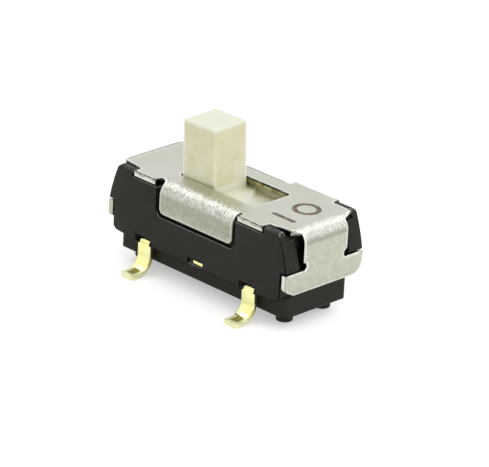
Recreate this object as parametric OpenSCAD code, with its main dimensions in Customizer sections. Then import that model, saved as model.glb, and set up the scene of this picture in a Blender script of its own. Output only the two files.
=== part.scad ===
// Surface-mount slide switch: two positions, a folded steel cover, a moulded base and three terminals.
// Millimetres. The origin is on the board's surface, under the middle of the switch.
// +X is along the slide, +Z is up, and -Y is the near side, which has the two outer terminals.

/* [Cover] */
// Length over the two end clips
cover_l = 8.5; // [8.3:0.05:9]
// Width over the side flaps and the clip bars
cover_w = 3.62; // [3.56:0.02:3.8]
// Height of the cover's top face above the board
cover_top = 3.57; // [3.5:0.01:3.8]
// Thickness of the cover's sheet
sheet_t = 0.2; // [0.15:0.01:0.22]
// Inside radius of the cover's bends
bend_in_r = 0.3; // [0.26:0.01:0.34]
// Length of each corner, from the end of a full-width edge to the end of the cover
corner_l = 1.2; // [1.1:0.05:1.3]
// Width of the cover where its shoulders start, between the corner posts
shoulder_w = 3; // [2.9:0.01:3.02]
// Width across the tips of the shoulders
shoulder_tip_w = 2.62; // [2.4:0.02:2.7]
// How far the shoulders run on into the end bends
shoulder_run = 0.18; // [0.1:0.02:0.24]
// Length of the near side flap
near_flap_l = 3.48; // [3:0.02:3.6]
// Middle of the near side flap, along the slide
near_flap_x = -0.07; // [-0.1:0.01:0.1]
// Length of the far side flap
far_flap_l = 2.56; // [2:0.02:2.6]
// Middle of the far side flap, along the slide
far_flap_x = -0.51; // [-0.52:0.01:0.3]
// Depth of the side flaps below the top face
flap_drop = 1.16; // [1:0.02:1.3]
// Corner radius of the side flaps
flap_corner_r = 0.22; // [0.1:0.02:0.3]
// Width of the relief notches beside the flaps
notch_w = 0.23; // [0.16:0.01:0.28]
// Depth of the relief notches from the edge
notch_depth = 0.28; // [0.22:0.02:0.32]

/* [End clips] */
// Width of the clip's neck
neck_w = 2.1; // [1.9:0.02:2.12]
// Depth of the clips below the top face
clip_drop = 2.25; // [2.1:0.05:2.3]
// Height of the clip's cross bar
bar_h = 0.84; // [0.7:0.02:0.9]
// Lower corner cut of the cross bar, along the bar
bar_cut_w = 0.38; // [0.34:0.02:0.6]
// Lower corner cut of the cross bar, up the bar
bar_cut_h = 0.22; // [0.2:0.01:0.3]
// Radius that softens the ends of that corner cut
bar_corner_r = 0.38; // [0.1:0.02:0.38]
// Radius of the relief holes between neck and bar
relief_r = 0.14; // [0.1:0.01:0.16]

/* [Slider] */
// Length of the knob along the slide
knob_l = 1.5; // [1.2:0.01:1.5]
// Width of the knob
knob_w = 1.6; // [1.3:0.02:1.6]
// Height of the knob above the cover
knob_h = 2; // [1:0.01:3]
// Edge radius of the knob
knob_edge_r = 0.06; // [0.03:0.01:0.15]
// Distance that the slider travels
travel = 1.95; // [1.8:0.05:2.2]
// Middle of the slot, along the slide
slot_x = -0.07; // [-0.08:0.01:0.08]
// Length of the slider's plate
plate_l = 5.2; // [5:0.05:5.3]
// Width of the slider's plate
plate_w = 2.44; // [2.3:0.02:2.48]
// Thickness of the slider's plate
plate_t = 0.35; // [0.25:0.01:0.4]
// Depth of the plate's top below the cover
plate_drop = 0.29; // [0.2:0.01:0.32]
// Radius of the round step under the knob, at its top
boss_r = 1.37; // [1.2:0.01:1.5]
// Height of the round step
boss_h = 0.12; // [0.05:0.01:0.16]
// Width of the rails along the plate
rail_w = 0.14; // [0.1:0.01:0.2]
// Length of the carrier block under the plate
carrier_l = 3.5; // [3.4:0.05:3.6]
// Width of the carrier block
carrier_w = 1.9; // [1.7:0.05:1.95]

/* [Moving contact] */
// Thickness of the contact's strip
clip_t = 0.08; // [0.06:0.01:0.1]
// Width of the contact's strip
clip_w = 0.8; // [0.6:0.05:0.9]
// Length of the contact's flat seat
seat_l = 1; // [0.8:0.05:1.1]
// Slit between the twin fingers
finger_slit = 0.12; // [0.08:0.01:0.2]
// Distance between the two contact points
contact_span = 2.5; // [2.4:0.05:2.55]
// Outer radius of a contact point's curl
curl_r = 0.2; // [0.16:0.01:0.22]

/* [Base] */
// Height of the base's underside above the board
underside_z = 0.38; // [0.3:0.01:0.45]
// Height of the lower edge of the side faces
face_z = 1.08; // [1:0.01:1.11]
// How much higher that edge is at the ends
face_rise = 0.08; // [0.02:0.01:0.12]
// Width of the base below its side faces
foot_band_w = 2.94; // [2.7:0.02:2.94]
// Thickness of the wall of a corner post
post_t = 0.27; // [0.2:0.01:0.28]
// Lean of the corner posts' end faces, from foot to top
post_lean = 0.41; // [0.3:0.01:0.42]
// Radius of the posts' top edge
post_edge_r = 0.13; // [0.05:0.01:0.2]
// Diameter of the stand-off feet
stud_d = 0.58; // [0.4:0.02:0.7]
// Clearance of the stand-off feet above the board
stud_z = 0.11; // [0.05:0.01:0.15]
// Distance of the feet from the ends of the base
stud_inset = 0.6; // [0.5:0.02:0.8]
// Distance between the two rows of feet
stud_row = 1.76; // [1.5:0.02:2]

/* [Terminals] */
// Distance between the two outer terminals
pitch = 5; // [4.8:0.05:5.1]
// Thickness of the terminals' strip
lead_t = 0.15; // [0.1:0.01:0.15]
// Height of the strip's underside inside the base
lead_z = 1.13; // [1.12:0.01:1.18]
// Width of a terminal where it leaves the base
lead_neck_w = 0.46; // [0.34:0.02:0.5]
// Width of a terminal's leg and foot
leg_w = 0.6; // [0.52:0.01:0.64]
// Width of the cut ends on the other side
stub_w = 0.46; // [0.4:0.02:0.5]
// Offset of the cut ends from the middle of their terminals
stub_shift = 0.1; // [0:0.01:0.12]
// Distance over the soldering feet, from side to side
feet_span = 5.06; // [5:0.02:5.3]
// Outer radius of the bend above a foot
heel_r = 0.63; // [0.45:0.01:0.7]
// Inner radius of the bend at a terminal's top
elbow_in_r = 0.1; // [0.06:0.01:0.12]
// Length of a fixed contact pad across the base
pad_w = 1.6; // [1.4:0.05:1.8]
// Length of an outer contact pad along the slide
outer_pad_l = 1.2; // [1.1:0.05:1.3]
// Length of the middle contact pad along the slide
middle_pad_l = 0.9; // [0.8:0.05:1]

/* [Clearances] */
// Clearance between the knob and the slot's sides
slot_side_gap = 0.04; // [0.04:0.01:0.1]
// Clearance between the knob and the slot's ends
slot_end_gap = 0.04; // [0.03:0.01:0.1]
// Clearance between the slider and the base
slider_gap = 0.08; // [0.06:0.01:0.1]
// Clearance between the cover's underside and the base
lid_gap = 0.06; // [0.02:0.01:0.06]
// Clearance between the rails and the cover
rail_gap = 0.04; // [0.02:0.01:0.06]
// Clearance between the cover's flaps or clips and the base
flap_gap = 0.06; // [0.02:0.01:0.06]
// Gap around the sides and the foot of a flap
pocket_gap = 0.13; // [0.07:0.01:0.14]
// Gap between a corner post and the cover's edge
post_gap = 0.06; // [0.04:0.01:0.08]
// Clearance between the contact points and the pads
contact_gap = 0.02; // [0.01:0.005:0.03]

/* [Hidden] */
$fn = 64;
// how far a cutting shape runs past what it cuts
past = 1;
// how far joined shapes reach into each other
lap = 0.1;

half_l = cover_l / 2;
half_w = cover_w / 2;
cover_under = cover_top - sheet_t;
bend_r = bend_in_r + sheet_t;
flat_x = half_l - bend_r;
flat_y = half_w - bend_r;
bend_z = cover_top - bend_r;
strip_x = half_l - corner_l;
bar_z = cover_top - clip_drop;
bar_top = bar_z + bar_h;
bar_cut_tilt = atan2(bar_cut_h, bar_cut_w);
relief_lift = 0.95;
edge_fillet_r = 0.12;
shoulder_x = flat_x + shoulder_run;
shoulder_tilt = atan2((shoulder_w - shoulder_tip_w) / 2, shoulder_x - strip_x);
// how much further the end bend reaches at the neck than at a shoulder's tip
tip_slant = 0.14;
// each side flap: its side (-1 near, 1 far), its middle and its length
FLAPS = [[-1, near_flap_x, near_flap_l], [1, far_flap_x, far_flap_l]];

rest_x = slot_x - travel / 2;
slide_reach = abs(slot_x) + travel / 2;
slot_l = knob_l + travel + 2 * slot_end_gap;
slot_w = knob_w + 2 * slot_side_gap;
slot_corner_r = 0.12;
plate_top = cover_under - plate_drop;
plate_under = plate_top - plate_t;
rail_top = cover_under - rail_gap;

floor_z = lead_z + lead_t;
carrier_lift = 0.45;
carrier_z = floor_z + carrier_lift;
pocket_roof = 0.3;
roof_z = plate_under - pocket_roof;
carrier_wall = 0.2;
stake_r = 0.15;
stake_gap = 0.02;

base_x = half_l - sheet_t - flap_gap;
base_top = cover_under - lid_gap;
pocket_y = half_w - sheet_t - flap_gap;
pocket_corner_r = flap_corner_r + pocket_gap / 2;
rim_drop = 0.12;
well_x = plate_l / 2 + slide_reach + slider_gap;
well_y = plate_w / 2 + slider_gap;
pit_x = carrier_l / 2 + slide_reach + 2 * slider_gap;
pit_y = carrier_w / 2 + slider_gap;
ledge_z = plate_under - slider_gap / 2;
post_x = strip_x + post_gap;
post_y = half_w - post_t;
post_top = cover_top - 0.02;
post_foot_x = half_l - 0.02;
post_foot_z = bar_top + flap_gap;
// the posts' end faces bulge a little, with this radius
post_bulge_r = 6;
post_chamfer = 0.04;
corner_block_top = cover_under - 0.13;
// blocks beside the clip's neck: their inner faces lean back a little from the neck
block_y = neck_w / 2 + 0.09;
block_lean = 0.04;
recess_x = half_l - 0.4;
recess_drop = 0.1;
tray_end_r = 0.12;
band_inset = 0.02;
band_corner_r = 0.25;
band_edge_r = 0.17;

// each terminal: its place along the slide, the side it leaves by and its pad's length
OUTER_X = pitch / 2;
LEFT_LEAD = [-OUTER_X, -1, outer_pad_l];
RIGHT_LEAD = [OUTER_X, -1, outer_pad_l];
COMMON_LEAD = [0, 1, middle_pad_l];
elbow_r = elbow_in_r + lead_t;
leg_inset = 0.06;
leg_y = half_w - leg_inset;
elbow_y = leg_y - elbow_r;
heel_y = leg_y - lead_t + heel_r;
toe_y = feet_span / 2;
toe_corner_r = 0.08;
gate_half_w = lead_neck_w / 2 + 0.13;
gate_top = floor_z + 0.03;
gate_y = elbow_y - 0.02;
stub_depth = 0.06;
window_margin = 0.18;
window_slit = 0.04;
window_h = 0.2;

module rounded_rect(l, w, r) {
    square([l - 2 * r, w], center = true);
    square([l, w - 2 * r], center = true);
    for (x = [-1, 1], y = [-1, 1])
        translate([x * (l / 2 - r), y * (w / 2 - r)]) circle(r);
}

// An upright outline, standing on y = 0, with round lower corners
module round_foot(l, h, r) {
    translate([-l / 2, r]) square([l, h - r]);
    translate([-l / 2 + r, 0]) square([l - 2 * r, h]);
    for (x = [-1, 1])
        translate([x * (l / 2 - r), r]) circle(r);
}

// Stands an outline drawn in X and Z upright and gives it a depth along Y, centred
module along_y(w) {
    translate([0, w / 2, 0]) rotate([90, 0, 0]) linear_extrude(w) children();
}

// Stands an outline drawn in Y and Z upright and gives it a length along X, centred
module along_x(l) {
    translate([-l / 2, 0, 0]) rotate([90, 0, 90]) linear_extrude(l) children();
}

// A block on z = 0 whose upright edges and lower edges are round
module soft_block(l, w, h, corner_r, edge_r) {
    intersection() {
        linear_extrude(h) rounded_rect(l, w, corner_r);
        along_y(w + past) round_foot(l, h + past, edge_r);
        along_x(l + past) round_foot(w, h + past, edge_r);
    }
}

// A quarter of a ring about the origin, from one axis to the next
module quarter_ring(inner, outer) {
    intersection() {
        difference() {
            circle(outer);
            circle(inner);
        }
        square(outer + past);
    }
}

// Section of the sheet where it bends down: out along x, top face on y = 0
module sheet_fold(reach, drop) {
    translate([reach - bend_r - lap, -sheet_t]) square([lap, sheet_t]);
    translate([reach - bend_r, -bend_r]) quarter_ring(bend_in_r, bend_r);
    translate([reach - sheet_t, -drop]) square([sheet_t, drop - bend_r]);
}

// Cover: a stamped sheet with a slot, folded down into side flaps and end clips

module relief_notch(x) {
    translate([x, half_w - notch_depth + notch_w / 2]) {
        circle(notch_w / 2);
        translate([-notch_w / 2, 0]) square([notch_w, past]);
    }
}

// A shoulder narrows from the end of a full-width edge to its tip in the end bend
module shoulder() {
    polygon([
        [0, 0],
        [0, shoulder_w / 2],
        [strip_x, shoulder_w / 2],
        [shoulder_x, shoulder_tip_w / 2],
        [shoulder_x + tip_slant, neck_w / 2],
        [shoulder_x + tip_slant, 0]
    ]);
}

// Rounds the inner corner between a full-width edge and the shoulder beside it
module edge_fillet() {
    r = edge_fillet_r;
    lift = r / cos(shoulder_tilt) - r * tan(shoulder_tilt);
    translate([strip_x, shoulder_w / 2]) difference() {
        polygon([
            [0, 0],
            [0, lift],
            [r, lift],
            [r - r * sin(shoulder_tilt), lift - r * cos(shoulder_tilt)]
        ]);
        translate([r, lift]) circle(r);
    }
}

module plate_outline() {
    difference() {
        union() {
            square([2 * strip_x, cover_w], center = true);
            for (x = [0, 1], y = [0, 1]) mirror([x, 0]) mirror([0, y]) {
                edge_fillet();
                intersection() {
                    square([flat_x, half_w]);
                    shoulder();
                }
            }
        }
        for (flap = FLAPS) scale([1, flap[0]]) {
            for (end = [-1, 1])
                relief_notch(flap[1] + end * (flap[2] + notch_w) / 2);
            translate([flap[1] - flap[2] / 2, flat_y]) square([flap[2], past]);
        }
        translate([slot_x, 0]) rounded_rect(slot_l, slot_w, slot_corner_r);
    }
}

module side_flap(flap) {
    translate([flap[1], 0, cover_top]) intersection() {
        along_x(flap[2]) sheet_fold(half_w, flap_drop);
        translate([0, half_w, -flap_drop])
            along_y(2 * bend_r + past) round_foot(flap[2], flap_drop + past, flap_corner_r);
    }
}

// Half of the cross bar, with its lower corner cut off and the cut's two ends rounded
module half_bar() {
    side_run = bar_corner_r * tan(45 - bar_cut_tilt / 2);
    foot_run = bar_corner_r * tan(bar_cut_tilt / 2);
    along_cut = [cos(bar_cut_tilt), sin(bar_cut_tilt)];
    cut_top = [half_w, bar_z + bar_cut_h];
    cut_foot = [half_w - bar_cut_w, bar_z];
    intersection() {
        translate([0, bar_z]) square([half_w, bar_h]);
        union() {
            polygon([
                [0, bar_top],
                [half_w, bar_top],
                cut_top + [0, side_run],
                cut_top - side_run * along_cut,
                cut_foot + foot_run * along_cut,
                cut_foot - [foot_run, 0],
                [0, bar_z]
            ]);
            translate(cut_top + [-bar_corner_r, side_run]) circle(bar_corner_r);
            translate(cut_foot + [-foot_run, bar_corner_r]) circle(bar_corner_r);
        }
    }
}

// The clip seen from the end of the switch: a cross bar on a neck, with relief holes
module clip_face() {
    difference() {
        union() {
            translate([-neck_w / 2, bar_z]) square([neck_w, bend_z - bar_z + lap]);
            half_bar();
            mirror([1, 0]) half_bar();
        }
        for (y = [-1, 1])
            translate([y * neck_w / 2, bar_top + relief_r * relief_lift]) circle(relief_r);
    }
}

// The clip seen from above, with the shoulders that run into the bend
module clip_plan() {
    translate([flat_x - lap, -neck_w / 2]) square([bend_r + lap + past, neck_w]);
    for (y = [0, 1]) mirror([0, y]) intersection() {
        translate([flat_x - lap, 0]) square([bend_r + lap, half_w]);
        shoulder();
    }
}

module end_clip() {
    intersection() {
        translate([0, 0, cover_top]) along_y(cover_w) sheet_fold(half_l, clip_drop);
        union() {
            translate([half_l, 0, 0]) along_x(2 * bend_r) clip_face();
            translate([0, 0, bend_z]) linear_extrude(bend_r + past) clip_plan();
        }
    }
}

module cover() {
    color("gainsboro") {
        translate([0, 0, cover_under]) linear_extrude(sheet_t) plate_outline();
        side_flap(FLAPS[1]);
        mirror([0, 1, 0]) side_flap(FLAPS[0]);
        end_clip();
        mirror([1, 0, 0]) end_clip();
    }
}

// Terminals: flat contact pads that run out through the base and bend down to soldering feet

// Side view of a lead from its pad's edge to its toe: out along x, up along y
module lead_run() {
    translate([pad_w / 2 - lap, lead_z]) square([elbow_y - pad_w / 2 + lap, lead_t]);
    translate([elbow_y, floor_z - elbow_r]) quarter_ring(elbow_in_r, elbow_r);
}

module leg_run() {
    translate([leg_y - lead_t, heel_r]) square([lead_t, floor_z - elbow_r - heel_r]);
    translate([heel_y, heel_r]) rotate(180) quarter_ring(heel_r - lead_t, heel_r);
    translate([heel_y - lap / 2, 0]) square([toe_y - heel_y + lap / 2, lead_t]);
}

// The leg's outline from above keeps the toe's corners round
module toe_plan() {
    depth = toe_y - elbow_y + past;
    translate([0, toe_y - depth / 2]) rounded_rect(leg_w, depth, toe_corner_r);
}

// A whole terminal whose leg leaves towards +Y
module terminal(pad_l) {
    translate([-pad_l / 2, -pad_w / 2, lead_z]) cube([pad_l, pad_w, lead_t]);
    along_x(lead_neck_w) lead_run();
    intersection() {
        along_x(leg_w) leg_run();
        linear_extrude(floor_z) toe_plan();
    }
    translate([stub_shift - stub_w / 2, stub_depth - half_w, lead_z])
        cube([stub_w, half_w - stub_depth, lead_t]);
}

module placed_terminal(lead) {
    color("gold") translate([lead[0], 0, 0]) scale([1, lead[1], 1]) terminal(lead[2]);
}

module left_terminal() {
    placed_terminal(LEFT_LEAD);
}

module right_terminal() {
    placed_terminal(RIGHT_LEAD);
}

module common_terminal() {
    placed_terminal(COMMON_LEAD);
}

// Base: a moulded tray with corner posts, pockets for the cover's flaps and stand-off feet

// Side view of the tray: recesses at its ends keep clear of the clips' necks and bends
module tray_side_view() {
    for (side = [0, 1]) mirror([side, 0]) polygon([
        [0, face_z],
        [strip_x, face_z],
        [base_x - tray_end_r, face_z + face_rise],
        [base_x, face_z + face_rise + tray_end_r],
        [base_x, post_foot_z],
        [recess_x, post_foot_z],
        [recess_x, base_top - recess_drop],
        [flat_x, base_top],
        [0, base_top]
    ]);
}

module tray() {
    band_l = 2 * (base_x - band_inset);
    band_h = face_z + face_rise + lap - underside_z;
    along_y(cover_w) tray_side_view();
    translate([0, 0, underside_z])
        soft_block(band_l, foot_band_w, band_h, band_corner_r, band_edge_r);
}

// Centre of the circle through two points that has a given radius and lies to their left
function arc_centre(from, to, r) =
    let (run = to - from, half = norm(run) / 2, back = sqrt(r * r - half * half))
    (from + to) / 2 + back / norm(run) * [-run[1], run[0]];

module post_side_view() {
    post_top_x = post_foot_x - post_lean;
    intersection() {
        polygon([
            [post_x, post_foot_z],
            [half_l, post_foot_z],
            [half_l, post_top - post_chamfer - (half_l - post_top_x)],
            [post_top_x - post_chamfer, post_top],
            [post_x, post_top]
        ]);
        translate(arc_centre([post_foot_x, post_foot_z], [post_top_x, post_top], post_bulge_r))
            circle(post_bulge_r, $fn = 128);
    }
}

// End view of one corner: the outer wall and the lower block beside the clip's neck
module post_end_view() {
    translate([half_w - post_edge_r, post_top - post_edge_r]) circle(post_edge_r);
    polygon([
        [half_w, post_foot_z],
        [half_w, post_top - post_edge_r],
        [half_w - post_edge_r, post_top],
        [post_y, post_top],
        [post_y, corner_block_top],
        [block_y + block_lean, corner_block_top],
        [block_y, post_foot_z]
    ]);
}

module corner_post() {
    intersection() {
        along_x(cover_l + past) post_end_view();
        along_y(cover_w + past) post_side_view();
    }
}

module flap_pocket(flap) {
    l = flap[2] + 2 * pocket_gap;
    floor_drop = flap_drop + pocket_gap;
    translate([flap[1], pocket_y + past / 2, cover_top - floor_drop])
        along_y(past) round_foot(l, floor_drop + past, pocket_corner_r);
    // room for the flap's bend
    translate([flap[1], 0, 0]) along_x(l) polygon([
        [flat_y - lap, base_top - rim_drop],
        [flat_y - lap, cover_top],
        [half_w + past, cover_top],
        [half_w + past, bend_z],
        [pocket_y, bend_z],
        [pocket_y - rim_drop, base_top - rim_drop]
    ]);
}

// The well holds the slider's plate, and the pit below it holds the carrier
module slider_space() {
    translate([-well_x, -well_y, ledge_z]) cube([2 * well_x, 2 * well_y, cover_top]);
    translate([-pit_x, -pit_y, floor_z]) cube([2 * pit_x, 2 * pit_y, cover_top]);
}

// The gap that a terminal's leg comes down in, and the window over its cut end
module lead_openings(lead) {
    translate([lead[0], 0, 0]) scale([1, lead[1], 1]) {
        translate([-gate_half_w, gate_y, 0]) cube([2 * gate_half_w, past, gate_top]);
        translate([stub_shift - stub_w / 2 - window_margin, stub_depth - half_w - past, lead_z])
            cube([stub_w + window_margin + window_slit, past, window_h]);
    }
}

module studs() {
    stud_x = base_x - stud_inset;
    for (x = [-stud_x, stud_x], y = [-stud_row / 2, stud_row / 2])
        translate([x, y, stud_z]) cylinder(d = stud_d, h = underside_z - stud_z + lap);
}

module base() {
    color("#383833") difference() {
        union() {
            tray();
            for (x = [0, 1], y = [0, 1]) mirror([x, 0, 0]) mirror([0, y, 0]) corner_post();
            studs();
        }
        for (flap = FLAPS) scale([1, flap[0], 1]) flap_pocket(flap);
        slider_space();
        for (lead = [LEFT_LEAD, RIGHT_LEAD, COMMON_LEAD]) {
            lead_openings(lead);
            placed_terminal(lead);
        }
    }
}

// Slider: knob, covering plate with rails, and the carrier that holds the moving contact

module knob() {
    translate([0, 0, cover_top + knob_h]) mirror([0, 0, 1])
        soft_block(knob_l, knob_w, cover_top + knob_h - plate_top + lap, knob_edge_r, knob_edge_r);
}

module plate() {
    translate([-plate_l / 2, -plate_w / 2, plate_under]) cube([plate_l, plate_w, plate_t]);
    for (y = [-plate_w / 2, plate_w / 2 - rail_w])
        translate([-plate_l / 2, y, plate_under]) cube([plate_l, rail_w, rail_top - plate_under]);
    intersection() {
        translate([0, 0, plate_top]) cylinder(r1 = boss_r + boss_h, r2 = boss_r, h = boss_h);
        translate([-plate_l / 2, rail_w - plate_w / 2, 0]) cube([plate_l, plate_w - 2 * rail_w, cover_top]);
    }
}

module carrier() {
    pocket_l = carrier_l - 2 * carrier_wall;
    pocket_w = clip_w + 2 * slider_gap;
    difference() {
        translate([-carrier_l / 2, -carrier_w / 2, carrier_z])
            cube([carrier_l, carrier_w, plate_under + lap - carrier_z]);
        translate([-pocket_l / 2, -pocket_w / 2, carrier_z - past])
            cube([pocket_l, pocket_w, roof_z - carrier_z + past]);
    }
    // stake that the contact is fixed on
    translate([0, 0, roof_z - 2 * clip_t]) cylinder(r = stake_r, h = 2 * clip_t + lap);
}

module slider() {
    color("#e6e2c8") translate([rest_x, 0, 0]) {
        knob();
        plate();
        carrier();
    }
}

// Moving contact: one sprung strip with twin fingers at each end

// A straight stretch of the strip between two points of its middle line, with round ends
module strip(from, to) {
    run = to - from;
    translate(from) rotate(atan2(run[1], run[0])) {
        translate([0, -clip_t / 2]) square([norm(run), clip_t]);
        circle(d = clip_t);
        translate([norm(run), 0]) circle(d = clip_t);
    }
}

module contact_arm() {
    curl_x = contact_span / 2;
    curl_z = floor_z + contact_gap + curl_r;
    strip([seat_l / 2, roof_z - clip_t / 2], [curl_x - curl_r + clip_t / 2, curl_z]);
    translate([curl_x, curl_z]) rotate(180) {
        quarter_ring(curl_r - clip_t, curl_r);
        rotate(90) quarter_ring(curl_r - clip_t, curl_r);
    }
}

module contact_side_view() {
    translate([-seat_l / 2, roof_z - clip_t]) square([seat_l, clip_t]);
    contact_arm();
    mirror([1, 0]) contact_arm();
}

module moving_contact() {
    slit_l = contact_span;
    color("goldenrod") translate([rest_x, 0, 0]) difference() {
        along_y(clip_w) contact_side_view();
        for (x = [-1, 1])
            translate([x * (slit_l + seat_l) / 2, 0, cover_top / 2])
                cube([slit_l, finger_slit, cover_top], center = true);
        translate([0, 0, roof_z - past]) cylinder(r = stake_r + stake_gap, h = 2 * past);
    }
}

base();
cover();
slider();
moving_contact();
left_terminal();
right_terminal();
common_terminal();
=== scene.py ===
"""Looks of a surface-mount slide switch: folded steel cover, black base, ivory knob, gilt terminals."""

import math

import bmesh
import bpy
from mathutils import Matrix, Vector
from mathutils.geometry import delaunay_2d_cdt


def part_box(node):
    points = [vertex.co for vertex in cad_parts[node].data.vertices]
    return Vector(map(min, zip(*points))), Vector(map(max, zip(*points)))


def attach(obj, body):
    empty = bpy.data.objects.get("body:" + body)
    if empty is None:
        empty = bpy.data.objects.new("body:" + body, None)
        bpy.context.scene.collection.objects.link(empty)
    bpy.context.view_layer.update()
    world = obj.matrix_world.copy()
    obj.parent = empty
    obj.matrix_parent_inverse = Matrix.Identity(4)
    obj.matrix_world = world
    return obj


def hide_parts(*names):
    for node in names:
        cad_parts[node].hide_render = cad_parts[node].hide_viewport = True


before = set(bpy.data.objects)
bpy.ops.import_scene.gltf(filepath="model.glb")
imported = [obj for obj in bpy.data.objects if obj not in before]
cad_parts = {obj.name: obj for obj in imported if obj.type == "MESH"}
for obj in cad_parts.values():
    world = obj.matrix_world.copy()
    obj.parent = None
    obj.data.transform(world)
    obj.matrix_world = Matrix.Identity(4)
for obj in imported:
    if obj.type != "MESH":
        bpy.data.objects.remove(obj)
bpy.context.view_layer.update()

# metres in a millimetre: meshes are worked on in millimetres, where small bevels stay exact
MM = 0.001
STILL = "housing"
MOVING = "slide"

# ---------------------------------------------------------------- meshes

# seams closer than this are joined, and faces that turn by less than this are one flat
SEAM, FLAT_DEG = 2e-4, 0.6
# edges that turn by more than the first are rounded, and by more than the second shade as corners
ROUNDED_DEG, CORNER_DEG = 33, 48
# a strip has room for a rounding if it is this many times as wide
ROOM_FOR_ROUNDING = 2.2


def cad_mesh(node):
    """A node's mesh in millimetres, with its seams joined and its flat faces whole."""
    shape = bmesh.new()
    shape.from_mesh(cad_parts[node].data)
    bmesh.ops.scale(shape, vec=Vector((1, 1, 1)) / MM, verts=shape.verts)
    bmesh.ops.remove_doubles(shape, verts=shape.verts, dist=SEAM)
    bmesh.ops.dissolve_limit(
        shape,
        angle_limit=math.radians(FLAT_DEG),
        use_dissolve_boundaries=False,
        verts=shape.verts,
        edges=shape.edges,
        delimit=set(),
    )
    return shape


def crosses_level(start, end, spot):
    """Whether a line across to the right from the spot meets the edge."""
    (x0, y0), (x1, y1), (x, y) = start, end, spot
    return (y0 > y) != (y1 > y) and x < x0 + (x1 - x0) * (y - y0) / (y1 - y0)


def inside(point, outline):
    """Whether a point lies in a closed outline, by counting the edges to its right."""
    edges = zip(outline, outline[1:] + outline[:1])
    return sum(crosses_level(start, end, point) for start, end in edges) % 2 == 1


def face_middle(points, face):
    return sum((points[i] for i in face), Vector((0, 0))) / len(face)


def refill_flat(shape, flat, normal):
    """Cuts one flat area anew into triangles between its own borders, round any holes in it."""
    members = set(flat)
    borders = [e for face in flat for e in face.edges if sum(f in members for f in e.link_faces) == 1]
    verts = list(dict.fromkeys(v for e in borders for v in e.verts))
    place = {v: i for i, v in enumerate(verts)}
    turn = normal.rotation_difference(Vector((0, 0, 1)))
    spots = [(turn @ v.co).to_2d() for v in verts]
    edges = [(place[e.verts[0]], place[e.verts[1]]) for e in borders]
    placed, _, faces, *_ = delaunay_2d_cdt(spots, edges, [], 0, 1e-7)
    if len(placed) != len(spots):
        return
    kept = []
    for face in faces:
        middle = face_middle(placed, face)
        if sum(crosses_level(spots[a], spots[b], middle) for a, b in edges) % 2:
            kept.append(face)
    bmesh.ops.delete(shape, geom=flat, context="FACES")
    for face in kept:
        corners = [min(range(len(spots)), key=lambda i: (spots[i] - placed[k]).length_squared) for k in face]
        shape.faces.new([verts[i] for i in corners])


def refill_flats(shape, mark):
    """Does so for every flat area made of more than one simple face."""
    shape.normal_update()
    seen, areas = set(), []
    for start in shape.faces:
        if start in seen or start[mark]:
            continue
        seen.add(start)
        flat = [start]
        for face in flat:
            for other in (f for edge in face.edges for f in edge.link_faces):
                if other not in seen and not other[mark] and other.normal.dot(start.normal) > 0.99999:
                    seen.add(other)
                    flat.append(other)
        if len(flat) > 1 or len(start.verts) > 4:
            areas.append((flat, start.normal.copy()))
    for flat, normal in areas:
        refill_flat(shape, flat, normal)
    shape.normal_update()


def soften_edges(shape, width, segments=3):
    """Rounds every edge that turns sharply, and marks the faces that this makes.

    Edges of strips too narrow for the rounding are left as they are.
    """
    mark = shape.faces.layers.float.new("rounded")
    sharp = [
        e for e in shape.edges
        if e.is_manifold and e.calc_face_angle(0) > math.radians(ROUNDED_DEG)
        and min(f.calc_area() for f in e.link_faces) > ROOM_FOR_ROUNDING * width * e.calc_length()
    ]
    made = bmesh.ops.bevel(
        shape,
        geom=sharp,
        offset=width,
        offset_type="OFFSET",
        segments=segments,
        profile=0.5,
        affect="EDGES",
        clamp_overlap=False,
        miter_outer="ARC",
        miter_inner="SHARP",
    )
    for face in made["faces"]:
        face[mark] = 1.0
    refill_flats(shape, mark)


def keep_order(elements, place):
    """Sorts points or faces by their places, as the rounding leaves them in another order each run."""
    rank = {element: i for i, element in enumerate(sorted(elements, key=place))}
    elements.sort(key=rank.get)
    elements.index_update()


def finished_piece(shape, name, node, body, material):
    """Makes an object of the mesh, which stands for a node and rides on its body."""
    keep_order(shape.verts, lambda vert: vert.co.to_tuple(5))
    keep_order(shape.faces, lambda face: face.calc_center_median().to_tuple(5))
    bmesh.ops.scale(shape, vec=Vector((1, 1, 1)) * MM, verts=shape.verts)
    mesh = bpy.data.meshes.new(name)
    shape.to_mesh(mesh)
    shape.free()
    mesh.materials.append(material)
    piece = bpy.data.objects.new(name, mesh)
    bpy.context.scene.collection.objects.link(piece)
    mesh.shade_smooth()
    mesh.set_sharp_from_angle(angle=math.radians(CORNER_DEG))
    weighted = piece.modifiers.new("even_shading", "WEIGHTED_NORMAL")
    weighted.keep_sharp = True
    weighted.weight = 60
    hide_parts(node)
    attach(piece, body)


# ---------------------------------------------------------------- shader tools


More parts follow.
